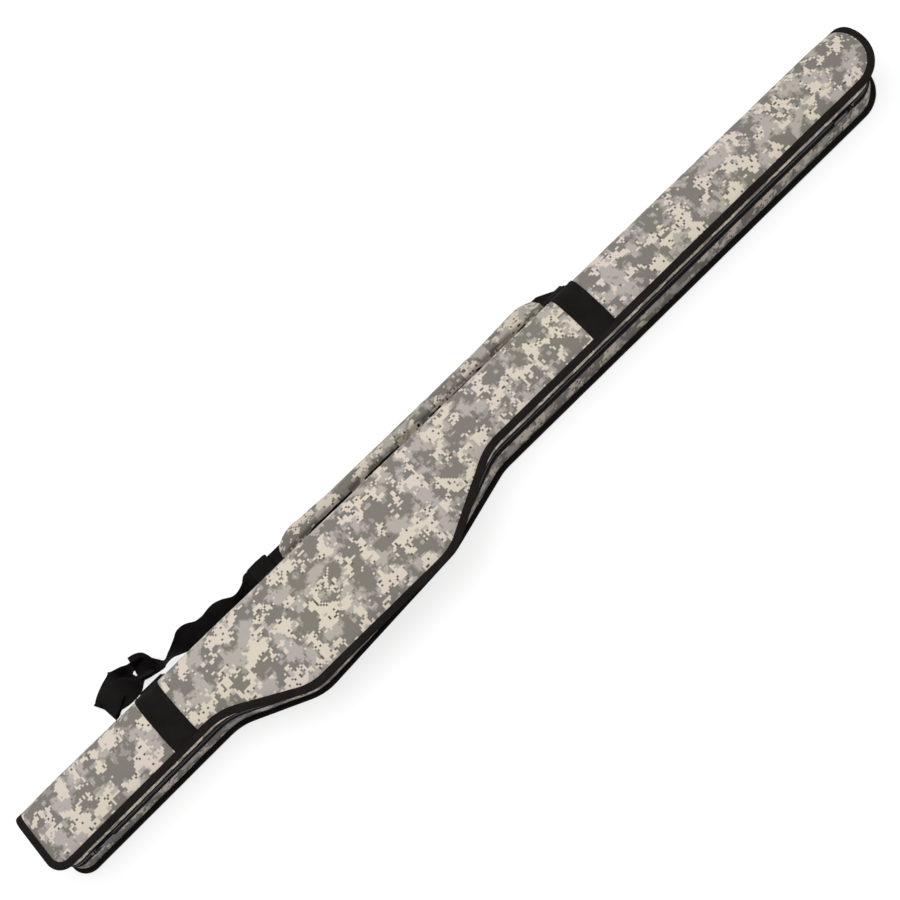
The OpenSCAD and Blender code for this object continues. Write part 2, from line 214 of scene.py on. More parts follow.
def ripple(x, y, seed, size):
    """Smooth noise from -1 to 1, about size mm from bump to bump."""
    x, y = np.broadcast_arrays(np.asarray(x, float), np.asarray(y, float))
    flat = [noise.noise(Vector((a / size, b / size, seed))) for a, b in zip(x.ravel(), y.ravel())]
    return np.array(flat).reshape(x.shape)


def smoothstep(a, b, v):
    s = np.clip((np.asarray(v, float) - a) / (b - a), 0, 1)
    return s * s * (3 - 2 * s)


def edge_distance(side, x, u):
    """Distance in mm from (x, u) to the panel's edge, spine side left out."""
    line = side.rail(0, side.wall_u + 40)
    a, b = line[:-1], line[1:]
    ab = b - a
    p = np.stack([np.ravel(x), np.ravel(u)], -1)
    best = np.full(len(p), 1e9)
    for i in range(len(a)):
        s = np.clip(((p - a[i]) @ ab[i]) / (ab[i] @ ab[i] + 1e-12), 0, 1)
        best = np.minimum(best, np.linalg.norm(p - a[i] - s[:, None] * ab[i], axis=1))
    return best.reshape(np.shape(x))


TAIL_BAND, TIP_BAND = (sum(mm_box(n)[k][0] for k in (0, 1)) / 2 for n in ("tail_band", "tip_band"))
WEB_W, WEB_THICK = 38.0, 1.5
CROWN, CROWN_FROM, CROWN_REACH = 9.5, 9.6, 15
BACK_RISE = 2.0


def front_height(x, u):
    """How far the padded front stands off its flat board, in mm."""
    x, u = np.broadcast_arrays(np.asarray(x, float), np.asarray(u, float))
    d = edge_distance(FRONT, x, u)
    crown = CROWN * (1 - np.exp(-np.maximum(d - CROWN_FROM, 0) / CROWN_REACH))
    spine = 1 - smoothstep(14, 66, u)
    dip = -1.6 * (1 - smoothstep(7.4, 10, d))
    near = np.minimum(abs(x - TAIL_BAND), abs(x - TIP_BAND))
    pressed = 1.1 * (1 - smoothstep(WEB_W / 2 - 1, WEB_W / 2 + 9, near)) * smoothstep(7, 16, d)
    soft = 0.9 * ripple(x, u, 3.1, 75) + 0.35 * ripple(x, u, 8.4, 26)
    pucker = 0.5 * ripple(x * 2.4, u * 2.4, 5.7, 22) * np.exp(-np.maximum(d - 10, 0) / 9)
    free = smoothstep(8.6, 16, d) * (0.35 + 0.65 * spine)
    return (crown - pressed) * spine + dip + (soft + pucker) * free


def back_height(x, u):
    """The back panel lies flat on the floor and turns up to its bound edge."""
    x, u = np.broadcast_arrays(np.asarray(x, float), np.asarray(u, float))
    d = edge_distance(BACK, x, u)
    rise = BACK_RISE * (1 - smoothstep(8, 22, d))
    soft = 0.5 * ripple(x, u, 4.4, 60) * smoothstep(BACK.bend_u + 4, BACK.wall_u, u)
    return soft - rise


# ---- meshes


def finish_mesh(name, verts, faces, uv_of_loop, materials, mat_index=None, smooth=True):
    mesh = bpy.data.meshes.new(name)
    mesh.from_pydata((np.asarray(verts, float) * MM).tolist(), [], faces)
    if uv_of_loop is not None:
        layer = mesh.uv_layers.new(name="UVMap")
        layer.data.foreach_set("uv", (np.asarray(uv_of_loop, float) * MM).ravel())
    for m in materials:
        mesh.materials.append(m)
    if mat_index is not None:
        mesh.polygons.foreach_set("material_index", mat_index)
    mesh.polygons.foreach_set("use_smooth", [smooth] * len(mesh.polygons))
    mesh.validate()
    obj = bpy.data.objects.new(name, mesh)
    bpy.context.scene.collection.objects.link(obj)
    return obj


def loft(name, rings, material, u=None, v=None, wrap=True, caps=False, flip=False, split=None):
    """A surface through rings of points. UVs are lengths: u along the rings, v round each."""
    rings = np.asarray(rings, float)
    n, m = rings.shape[:2]
    if u is None:
        u = lengths(rings.mean(axis=1))
    if v is None:
        loop = np.vstack([rings[n // 2], rings[n // 2][:1]]) if wrap else rings[n // 2]
        v = lengths(loop)
    faces, uvs, index = [], [], []
    for i in range(n - 1):
        for j in range(m if wrap else m - 1):
            k = (j + 1) % m
            f = [i * m + j, (i + 1) * m + j, (i + 1) * m + k, i * m + k]
            w = [(u[i], v[j]), (u[i + 1], v[j]), (u[i + 1], v[j + 1]), (u[i], v[j + 1])]
            if flip:
                f, w = f[::-1], w[::-1]
            faces.append(f)
            uvs += w
            index.append(0 if split is None else int(split(j)))
    if caps:
        for i, order in ((0, 1), (n - 1, -1)):
            f = [i * m + j for j in range(m)][::order]
            if flip:
                f = f[::-1]
            faces.append(f)
            uvs += [(u[i] + 0.2 * (j % 2), v[j]) for j in range(m)]
            index.append(0)
    materials = material if isinstance(material, (list, tuple)) else [material]
    return finish_mesh(name, rings.reshape(-1, 3), faces, uvs, materials, index)


def ribbon(name, centre, across, width, thick, material, v0=0.0):
    """A strip of webbing. centre is its middle line and across the unit vectors from edge to edge."""
    centre, across = np.asarray(centre, float), np.asarray(across, float)
    t = units(np.gradient(centre, axis=0))
    w = units(across - (across * t).sum(1)[:, None] * t)
    nrm = np.cross(t, w)
    h, q = width / 2, thick / 2
    span = np.linspace(-h + q, h - q, 7)
    profile = [(a, q) for a in span] + [(h - 0.35 * q, 0.7 * q), (h, 0), (h - 0.35 * q, -0.7 * q)]
    profile += [(a, -q) for a in span[::-1]] + [(-h + 0.35 * q, -0.7 * q), (-h, 0), (-h + 0.35 * q, 0.7 * q)]
    rings = [[c + a * ww + b * nn for a, b in profile] for c, ww, nn in zip(centre, w, nrm)]
    return loft(name, rings, material, u=lengths(centre), v=v_of(profile), caps=True, flip=True)


def v_of(profile):
    loop = np.array(list(profile) + [profile[0]], float)
    return lengths(loop)


def tube(name, path, radius, material, closed=False, sides=14):
    """A round rod along a path of points."""
    path = np.asarray(path, float)
    if closed:
        t = np.roll(path, -1, axis=0) - np.roll(path, 1, axis=0)
    else:
        t = np.gradient(path, axis=0)
    t = units(t)
    ref = np.array([0.31, 0.2, 0.93])
    rings = []
    for p, d in zip(path, t):
        a = unit(np.cross(d, ref))
        b = np.cross(d, a)
        rings.append([p + radius * (a * math.cos(s) + b * math.sin(s))
                      for s in np.linspace(0, 2 * math.pi, sides, endpoint=False)])
    if closed:
        rings.append(rings[0])
    return loft(name, rings, material, caps=not closed, flip=True)


def bar_faces(base, rings):
    """The faces of a closed bar made of six-sided rings of points, the first point being base."""
    faces = []
    for k in range(rings - 1):
        first = base + 6 * k
        for a in range(6):
            b = (a + 1) % 6
            faces.append([first + a, first + b, first + 6 + b, first + 6 + a])
    faces.append([base + a for a in range(6)][::-1])
    faces.append([base + 6 * (rings - 1) + a for a in range(6)])
    return faces


# Place along a stitch, thickness and height of each ring of points
STITCH_RINGS = [(-0.5, 0.45, -0.25), (-0.25, 1, 0.35), (0.25, 1, 0.35), (0.5, 0.45, -0.25)]


def stitches(name, points, normals, along, material, pitch=4.2, length=2.9, radius=0.42):
    """A row of thread stitches: short rounded bars on a surface, one every pitch mm."""
    s = lengths(points)
    count = max(2, int(s[-1] / pitch))
    verts, faces = [], []
    for i in range(count):
        at = (i + 0.5) * s[-1] / count
        p = sample(at, s, points)
        n, t = unit(sample(at, s, normals)), unit(sample(at, s, along))
        side = np.cross(n, t)
        base = len(verts)
        for f, r, lift in STITCH_RINGS:
            for a in range(6):
                c, q = math.cos(a * math.pi / 3), math.sin(a * math.pi / 3)
                verts.append(p + t * f * length + n * radius * (lift + r * q) + side * radius * r * c)
        faces += bar_faces(base, len(STITCH_RINGS))
    uvs = [(verts[i][0], verts[i][1]) for f in faces for i in f]
    return finish_mesh(name, verts, faces, uvs, [material])


CELL = 6.0
BELLY_Y = -112
PANEL_INSETS = [4.6, 6.4, 8.0, 9.4, 10.6, 13.0, 16.0]
BACK_PRINT_SHIFT = 700


def lattice(x_from, x_to, y_to):
    """A square grid of points from the belly up, CELL mm apart."""
    ys = np.arange(BELLY_Y, y_to, CELL)
    return np.array([(x, y) for x in np.arange(x_from, x_to, CELL) for y in ys])


def strips_and_grid(rails, grid, away):
    """A flat sheet: strips between the rails, then a grid inside the last rail where away is true.
    It gives back the sheet's points and faces."""
    n = len(rails[0])
    flat = list(np.concatenate(rails))
    faces = [[j * n + i, j * n + i + 1, (j + 1) * n + i + 1, (j + 1) * n + i]
             for j in range(len(rails) - 1) for i in range(n - 1)]
    inner = rails[-1]
    top = np.linspace(inner[-1], inner[0], int((inner[-1][0] - inner[0][0]) / CELL) + 2)[1:-1]
    loop = np.concatenate([inner, top])
    grid = grid[inside(loop, grid) & away(loop, grid)]
    points = [Vector(p) for p in np.concatenate([loop, grid])]
    edges = [(i, (i + 1) % len(loop)) for i in range(len(loop))]
    made = delaunay_2d_cdt(points, edges, [], 1, 1e-5)
    place = {}
    for i, came in enumerate(made[3]):
        if came and came[0] < n:
            place[i] = (len(rails) - 1) * n + came[0]
        else:
            place[i] = len(flat)
            flat.append(np.array(made[0][i]))
    faces += [[place[i] for i in f] for f in made[2]]
    return np.array(flat), faces


def panel(name, side, height, material):
    """A panel's outer fabric, in one piece with its half of the spine."""
    u_top = side.u_at(SPINE_GAP[side.front])
    rails = [side.rail(d, u_top) for d in PANEL_INSETS]
    clear = PANEL_INSETS[-1] + CELL * 0.6

    def away(loop, grid):
        return edge_distance(side, grid[:, 0], grid[:, 1]) > clear

    flat, faces = strips_and_grid(rails, lattice(TAIL_X + CELL, TIP_X, u_top - CELL * 0.6), away)
    verts = side.place(flat[:, 0], flat[:, 1], height(flat[:, 0], flat[:, 1]))
    if not side.front:
        faces = [f[::-1] for f in faces]
    shift = np.array([0 if side.front else BACK_PRINT_SHIFT, 0])
    uvs = [flat[i] + shift for f in faces for i in f]
    return finish_mesh(name, verts, faces, uvs, [material])


def inside(loop, points):
    """Which points are inside a closed loop."""
    x, y = points[:, 0], points[:, 1]
    hit = np.zeros(len(points), bool)
    for a, b in zip(loop, np.roll(loop, -1, axis=0)):
        if a[1] == b[1]:
            continue
        crosses = (a[1] > y) != (b[1] > y)
        hit ^= crosses & (x < (b[0] - a[0]) * (y - a[1]) / (b[1] - a[1]) + a[0])
    return hit


# ---- materials


def srgb(r, g, b):
    """A colour from 0-255 display values."""
    return tuple(v / 12.92 if v <= 0.04045 else ((v + 0.055) / 1.055) ** 2.4
                 for v in (r / 255, g / 255, b / 255)) + (1.0,)


def add(tree, kind, inputs=None, **settings):
    node = tree.nodes.new("ShaderNode" + kind)
    for key, value in settings.items():
        setattr(node, key, value)
    for key, value in (inputs or {}).items():
        socket = node.inputs[key]
        if isinstance(value, bpy.types.NodeSocket):
            tree.links.new(value, socket)
        else:
            socket.default_value = value
    return node


def math_node(tree, operation, *values):
    return add(tree, "Math", dict(enumerate(values)), operation=operation).outputs[0]


def weighted(tree, a, share_a, b, share_b):
    """The sum of a and b in these shares."""
    first = math_node(tree, "MULTIPLY", a, share_a)
    return math_node(tree, "ADD", first, math_node(tree, "MULTIPLY", b, share_b))


def vector_node(tree, operation, a, b):
    return add(tree, "VectorMath", {0: a, 1: b}, operation=operation).outputs[0]


def mix(tree, factor, a, b, blend="MIX"):
    node = add(tree, "Mix", {0: factor, 6: a, 7: b}, data_type="RGBA", blend_type=blend)
    return node.outputs[2]


def new_material(name, roughness, **sockets):
    material = bpy.data.materials.new(name)
    material.use_nodes = True
    tree = material.node_tree
    tree.nodes.clear()
    bsdf = add(tree, "BsdfPrincipled", {"Roughness": roughness, **sockets})
    out = add(tree, "OutputMaterial")
    tree.links.new(bsdf.outputs[0], out.inputs[0])
    return material, tree, bsdf


def uv(tree):
    return add(tree, "UVMap", uv_map="UVMap").outputs[0]


def waves(tree, vector, period_u, period_v):
    """Crossed threads: u threads and v threads, periods in metres."""
    split = add(tree, "SeparateXYZ", {0: vector})
    a = math_node(tree, "SINE", math_node(tree, "MULTIPLY", split.outputs[0], 2 * math.pi / period_u))
    b = math_node(tree, "SINE", math_node(tree, "MULTIPLY", split.outputs[1], 2 * math.pi / period_v))
    return a, b


def bump(tree, bsdf, height, distance, strength=1.0):
    node = add(tree, "Bump", {"Height": height, "Distance": distance, "Strength": strength})
    tree.links.new(node.outputs[0], bsdf.inputs["Normal"])


SAND, LIGHT, MID = srgb(203, 193, 180), srgb(166, 160, 154), srgb(144, 138, 132)
DARK, INK = srgb(117, 113, 107), srgb(86, 82, 76)
PIXEL = 0.0027
# Noise levels where the greys change, where sand starts and where dots of ink may fall on it
MID_FROM, DARK_FROM, SAND_FROM, DOTS_FROM = 0.435, 0.49, 0.548, 0.57
DOT_RARITY, FLECK_RARITY = 0.92, 0.955
CANVAS_THREAD = 0.00105


def noise_at(tree, vector, shift, scale, detail, rough):
    moved = vector_node(tree, "ADD", vector, shift)
    return add(tree, "TexNoise", {"Vector": moved, "Scale": scale, "Detail": detail,
                                  "Roughness": rough}, noise_dimensions="2D").outputs[0]


def scatter(tree, vector, shift):
    """A random value from 0 to 1 for each cell."""
    moved = vector_node(tree, "ADD", vector, shift)
    return add(tree, "TexWhiteNoise", {"Vector": moved}, noise_dimensions="2D").outputs[0]


def spread(tree, cell, shift, amount):
    """scatter round 0, amount wide."""
    centred = math_node(tree, "SUBTRACT", scatter(tree, cell, shift), 0.5)
    return math_node(tree, "MULTIPLY", centred, amount)


def grey_steps(tree, level):
    """The three greys, changing sharply at their levels."""
    node = add(tree, "ValToRGB", {0: level})
    ramp = node.color_ramp
    ramp.interpolation = "CONSTANT"
    ramp.elements[0].color, ramp.elements[0].position = LIGHT, 0.0
    ramp.elements[1].color, ramp.elements[1].position = MID, MID_FROM
    last = ramp.elements.new(DARK_FROM)
    last.color = DARK
    return node.outputs[0]


def pixel_print(tree, cloth):
    """The print's colour: greys, blotches of sand, dots of ink on the sand and scattered light flecks."""
    cell = vector_node(tree, "SNAP", cloth, (PIXEL,) * 3)
    block = vector_node(tree, "SNAP", cloth, (2 * PIXEL,) * 3)
    jitter = spread(tree, cell, (3.3, 1.7, 0), 0.055)
    chunk = spread(tree, block, (1.3, 4.1, 0), 0.075)
    rough = math_node(tree, "ADD", jitter, chunk)
    grey = math_node(tree, "ADD", noise_at(tree, cell, (5.2, 1.9, 0), 32, 2.8, 0.6), rough)
    sand = math_node(tree, "ADD", noise_at(tree, cell, (11.7, 6.3, 0), 35, 3.4, 0.64), rough)
    is_sand = math_node(tree, "GREATER_THAN", sand, SAND_FROM)
    colour = mix(tree, is_sand, grey_steps(tree, grey), SAND)
    deep = math_node(tree, "GREATER_THAN", sand, DOTS_FROM)
    dot = math_node(tree, "GREATER_THAN", scatter(tree, cell, (9.1, 2.6, 0)), DOT_RARITY)
    colour = mix(tree, math_node(tree, "MULTIPLY", deep, dot), colour, INK)
    fleck = math_node(tree, "GREATER_THAN", scatter(tree, block, (6.4, 8.8, 0)), FLECK_RARITY)
    return mix(tree, math_node(tree, "MULTIPLY", fleck, 0.8), colour, LIGHT)


def camo_material(name, shade=1.0):
    """Printed pixel camouflage on a coated canvas. shade scales its whole colour down: painted shade for
    copies on faces that get less light.
    """
    material, tree, bsdf = new_material(name, 0.78, **{"Specular IOR Level": 0.3})
    cloth = uv(tree)
    tint = noise_at(tree, cloth, (2.0, 3.0, 0), 9, 1.0, 0.5)
    hue = mix(tree, tint, srgb(252, 247, 255), srgb(252, 255, 243))
    colour = mix(tree, 1.0, pixel_print(tree, cloth), hue, "MULTIPLY")
    fibre = add(tree, "TexNoise", {"Vector": cloth, "Scale": 900.0, "Detail": 2.0}).outputs[0]
    # shade scales the random fibre tone down, which paints shade into the colour
    tone = add(tree, "MapRange", {0: fibre, 1: 0.3, 2: 0.7, 3: 0.93 * shade, 4: 1.04 * shade}).outputs[0]
    tree.links.new(mix(tree, 1.0, colour, tone, "MULTIPLY"), bsdf.inputs["Base Color"])
    a, b = waves(tree, cloth, CANVAS_THREAD, CANVAS_THREAD)
    weave = math_node(tree, "MULTIPLY", a, b)
    crumple = noise_at(tree, cloth, (0.4, 0.9, 0), 70, 3.0, 0.5)
    bump(tree, bsdf, weighted(tree, weave, 0.00006, crumple, 0.0012), 1.0, 0.75)
    return material


def woven_material(name, colour, wear, rib, cross, depth, roughness=0.85, gloss=0.08):
    """Ribbed narrow fabric: ribs across the strip every rib metres, warp threads every cross metres."""
    material, tree, bsdf = new_material(name, roughness, **{"Specular IOR Level": gloss})
    cloth = uv(tree)
    a, b = waves(tree, cloth, rib, cross)
    fibre = add(tree, "TexNoise", {"Vector": cloth, "Scale": 420.0, "Detail": 3.0}).outputs[0]
    worn = add(tree, "TexNoise", {"Vector": cloth, "Scale": 32.0, "Detail": 4.0,
                                  "Roughness": 0.65}).outputs[0]
    shade = weighted(tree, worn, 0.7, fibre, 0.3)
    amount = add(tree, "MapRange", {0: shade, 1: 0.35, 2: 0.72, 3: 0.0, 4: 1.0}).outputs[0]
    tree.links.new(mix(tree, amount, colour, wear), bsdf.inputs["Base Color"])
    ribs = weighted(tree, a, 0.6, b, 0.4)
    bump(tree, bsdf, weighted(tree, ribs, 1.0, fibre, 0.7), depth, 0.8)
    return material


def solid_material(name, colour, wear, roughness, metallic=0.0, scale=300.0, depth=0.00004):
    """Moulded or painted stuff with a fine grain, worn a little lighter in patches."""
    material, tree, bsdf = new_material(name, roughness, Metallic=metallic)
    place = add(tree, "TexCoord").outputs["Object"]
    grain = add(tree, "TexNoise", {"Vector": place, "Scale": scale, "Detail": 3.0}).outputs[0]
    patch = add(tree, "TexNoise", {"Vector": place, "Scale": 45.0, "Detail": 5.0,
                                   "Roughness": 0.7}).outputs[0]
    amount = add(tree, "MapRange", {0: patch, 1: 0.5, 2: 0.75, 3: 0.0, 4: 0.8}).outputs[0]
    tree.links.new(mix(tree, amount, colour, wear), bsdf.inputs["Base Color"])
    gloss = add(tree, "MapRange", {0: patch, 1: 0.3, 2: 0.7, 3: roughness - 0.06,
                                   4: roughness + 0.1}).outputs[0]
    tree.links.new(gloss, bsdf.inputs["Roughness"])
    bump(tree, bsdf, grain, depth)
    return material


# A copy of the print darkened to 0.9, as painted shade on the pad lying low beside the spine
PAD_CAMO_PAINTED_SHADE = camo_material("camo_pad_painted_shade", 0.9)
# Copies of the print darkened as painted shade on the side walls: the upper wall a little, the lower wall
# most, as it faces away from the lamps
WALL_CAMO_PAINTED_SHADE = {True: camo_material("camo_upper_wall_painted_shade", 0.92), False: camo_material("camo_lower_wall_painted_shade", 0.66)}
CAMO = camo_material("camo_canvas")
TAPE = woven_material("binding_tape", srgb(19, 16, 15), srgb(33, 29, 27), 0.0016, 0.0011, 0.00012)
WEB = woven_material("webbing", srgb(14, 12, 12), srgb(29, 26, 25), 0.0022, 0.0013, 0.00018, 0.8, 0.07)
ZIP_CLOTH = woven_material("zip_cloth", srgb(15, 13, 13), srgb(27, 25, 24), 0.0009, 0.0009, 0.00008)
THREAD = woven_material("thread", srgb(26, 23, 22), srgb(46, 42, 39), 0.0008, 0.0008, 0.00005, 0.6)
LINING = woven_material("lining_cloth", srgb(58, 58, 60), srgb(74, 74, 76), 0.0012, 0.0012, 0.00012,
                        gloss=0.2)
LOOP = woven_material("hook_loop", srgb(26, 26, 28), srgb(54, 54, 56), 0.0017, 0.0021, 0.0004, 0.95, 0.1)
COIL = solid_material("zip_nylon", srgb(24, 24, 25), srgb(48, 47, 47), 0.38)
STEEL = solid_material("dark_metal", srgb(46, 45, 45), srgb(112, 109, 105), 0.34, 0.9, 180.0)
PLASTIC = solid_material("black_plastic", srgb(26, 25, 25), srgb(48, 47, 46), 0.46, 0.0, 500.0)
BOARD = solid_material("board", srgb(92, 88, 82), srgb(112, 107, 100), 0.8, 0.0, 600.0, 0.0002)

# ---- shells

front_panel = panel("front_panel", FRONT, front_height, CAMO)
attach(front_panel, "lid")
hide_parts("front_cover", "front_spine")

back_panel = panel("back_panel", BACK, back_height, CAMO)
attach(back_panel, "case_back")
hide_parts("back_cover", "back_spine")


# Where the spine meets the round nose, and where the print starts on the strip along the hinge
SPINE_END_X = 732.6
HINGE_PRINT = 74.0


def spine_hinge():
    """The strip of fabric the lid turns on, between the two panels' spine edges."""
    xs = np.linspace(TAIL_X + PANEL_INSETS[0], SPINE_END_X, 160)
    low, high = SPINE_GAP[False], SPINE_GAP[True]
    outer, inner = np.linspace(low, high, 9), np.linspace(high, low, 7)
    section = [(SPINE_Y, z) for z in outer] + [(SPINE_Y - 4.6, z) for z in inner]
    rings = [[(x, y, z) for y, z in section] for x in xs]
    v = np.concatenate([HINGE_PRINT - outer, HINGE_Z + inner, [HINGE_PRINT]])
    outside = len(outer) - 1
    return loft("spine_hinge", rings, [CAMO, LINING], u=xs, v=v, caps=True,
                split=lambda j: int(j >= outside))


hinge = spine_hinge()
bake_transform(hinge)


# The folded tape's section, and its two rows of stitches: distance in from the edge, then height
TAPE_SECTION = [
    (10.2, -1.2), (10.1, 0.2), (9.3, 0.6), (8.0, 0.25), (7.4, 0.05), (6.7, 0.25), (4.4, 0.5),
    (1.5, 0.3), (0.2, -0.5), (-0.3, -1.9), (0.2, -3.4), (1.4, -4.1), (3.0, -4.3), (4.4, -4.05),
    (5.0, -3.85), (5.6, -4.05), (6.6, -4.4), (7.3, -4.0), (7.4, -2.9)]
TAPE_STITCHES = [("outer", 7.4, 0.1, 1), ("inner", 5.0, -3.95, -1)]
TAPE_END = {True: 50.0, False: 30.0}


def binding(name, side, body, node):
    """Tape folded over the edge of a panel, following it round the spine edge, with its stitches."""
    sign = 1 if side.front else -1
    u_top = side.u_at(TAPE_END[side.front])
    rails = [side.rail(d, u_top) for d, _ in TAPE_SECTION]
    mid = side.rail(FLANGE / 2, u_top)
    s = lengths(mid)
    wave = 0.35 * ripple(s, 0, 2.2 + sign, 34)
    rings = [side.place(r[:, 0], r[:, 1], h + wave) for r, (_, h) in zip(rails, TAPE_SECTION)]
    tape = loft(name, np.stack(rings, axis=1), TAPE, u=s, v=v_of(TAPE_SECTION), caps=True, flip=side.front)
    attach(tape, body)
    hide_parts(node)
    for label, d, h, flip in TAPE_STITCHES:
        line = side.rail(d, u_top)
        p = side.place(line[:, 0], line[:, 1], h + wave)
        _, _, ny, nz = side.section(line[:, 1])
        normal = flip * np.stack([0 * ny, ny, nz], -1)
        row = stitches(f"{name}_stitches_{label}", p, normal, np.gradient(p, axis=0), THREAD)
        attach(row, body)


binding("front_edge_tape", FRONT, "lid", "front_binding")
binding("back_edge_tape", BACK, "case_back", "back_binding")


# The wall's section from the zip up its outside and down its inside: level from 0 at the zip to 1 at the
# panel, distance in from the edge, and how far the cloth may sag
WALL_SECTION = [
    (0.0, 9.6, 0), (0.0, 8.4, 0), (0.03, 7.4, 0), (0.08, 6.9, 0.3), (0.2, 6.6, 1), (0.35, 6.3, 1),
    (0.5, 6.1, 1), (0.65, 6.2, 1), (0.8, 6.5, 1), (0.92, 6.9, 0.5), (1.0, 7.2, 0),
    (1.0, 9.4, 0), (0.97, 11.6, 0), (0.7, 12.2, 0), (0.35, 12.2, 0), (0.03, 11.8, 0)]
# The section's points up to WALL_OUTSIDE are canvas. Its lengths for the print are measured at WALL_MIDDLE
WALL_OUTSIDE, WALL_MIDDLE = 10, 60
WALL_TOP_Y = 49.0
WALL_Z = {True: (45.0, 77.6), False: (35.0, 2.4)}
WALL_PRINT = {True: 300, False: 500}


def gusset(name, front, body, node):
    """The padded side wall between a panel's bound seam and the zip: canvas outside, lining inside."""
    side = FRONT if front else BACK
    z_low, z_high = WALL_Z[front]
    s = lengths(wall_rail(FLANGE, HINGE_Z, WALL_TOP_Y))
    columns = []
    for k, d, soft in WALL_SECTION:
        line = wall_rail(d, z_low + (z_high - z_low) * k, WALL_TOP_Y)
        room = np.where(line[:, 1] > side.bend_u, line[:, 1], side.bend_u)
        drop = side.r - np.sqrt(np.maximum(side.r ** 2 - (room - side.bend_u) ** 2, 0))
        top = z_high - drop if front else z_high + drop
        z = z_low + (top - z_low) * k
        sag = soft * (0.8 * ripple(s, z, 6.0 + front, 40) + 0.5 * ripple(s * 1.4, z * 0.6, 1.5, 17))
        along = np.gradient(line, axis=0)
        out = units(np.stack([along[:, 1], -along[:, 0]], -1))
        columns.append(np.column_stack([line + out * sag[:, None], z]))
    rings = np.stack(columns, axis=1)
    v = v_of(rings[WALL_MIDDLE]) + WALL_PRINT[front]
    # The wall's canvas is a copy of the print darkened as painted shade
    wall = loft(name, rings, [WALL_CAMO_PAINTED_SHADE[front], LINING], u=s, v=v, caps=True, flip=not front,
                split=lambda j: int(j >= WALL_OUTSIDE))
    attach(wall, body)
    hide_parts(node)


gusset("front_side_wall", True, "lid", "front_gusset")
gusset("back_side_wall", False, "case_back", "back_gusset")


ZIP_TOP_Y = 45.0
# The woven tape's section from the wall's edge to the coil: distance in from the edge, height off the middle
ZIP_SECTION = [
    (6.6, 9.4), (5.9, 9.3), (5.7, 8.0), (6.2, 6.0), (7.0, 4.0), (8.2, 1.2), (9.0, 1.2), (8.6, 4.0),
    (7.4, 7.0)]
COIL_D, COIL_PITCH, COIL_MARGIN = 7.7, 2.5, 2
# Each turn of the coil, from its root to its nose: height off the middle, reach outwards, half its width
COIL_RINGS = [(3.4, 0.35, 0.55), (2.3, 0.95, 0.62), (0.9, 1.05, 0.66), (-0.35, 0.95, 0.78), (-0.8, 0.5, 0.5)]
COIL_SIDES = [(-1, -0.6), (-1, 0.5), (-0.45, 1), (0.45, 1), (1, 0.5), (1, -0.6)]


def zip_cloth(word, sign, body):
    """One side's woven tape, from the wall's edge to the coil."""
    rings = []
    for d, h in ZIP_SECTION:
        line = wall_rail(d, HINGE_Z + sign * h, ZIP_TOP_Y)
        rings.append(np.column_stack([line, np.full(len(line), HINGE_Z + sign * h)]))
    tape = loft(f"{word}_zip_cloth", np.stack(rings, axis=1), ZIP_CLOTH, v=v_of(ZIP_SECTION), caps=True,
                flip=sign < 0)
    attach(tape, body)
    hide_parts(f"{word}_zip_tape")


def zip_teeth(word, sign, body):
    """One side's coil, turn by turn. The front's turns stand half a pitch on from the back's."""
    line = wall_rail(COIL_D, HINGE_Z, ZIP_TOP_Y)
    s = lengths(line)
    count = int((s[-1] - 2 * COIL_MARGIN) / COIL_PITCH)
    start = 0.5 if sign > 0 else 0.0
    verts, faces = [], []
    for i in range(count):
        at = COIL_MARGIN + (i + start) * COIL_PITCH
        p = sample(at, s, line)
        t = unit(sample(at + 0.5, s, line) - p)
        out = np.array([t[1], -t[0]])
        turn_faces = bar_faces(len(verts), len(COIL_RINGS))
        faces += [f[::-1] for f in turn_faces] if sign > 0 else turn_faces
        for h, reach, half in COIL_RINGS:
            for a, b in COIL_SIDES:
                xy = p + t * half * a + out * (reach * b)
                verts.append((xy[0], xy[1], HINGE_Z + sign * h))
    uvs = [(verts[i][0], verts[i][1]) for f in faces for i in f]
    coil = finish_mesh(f"{word}_zip_teeth", verts, faces, uvs, [COIL])
    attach(coil, body)
    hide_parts(f"{word}_zip_coil")


for word, sign, body in (("front", 1, "lid"), ("back", -1, "case_back")):
    zip_cloth(word, sign, body)
    zip_teeth(word, sign, body)

# ---- bands


BAND_FOOT_D, BAND_END_Z = 6.2, 43.4


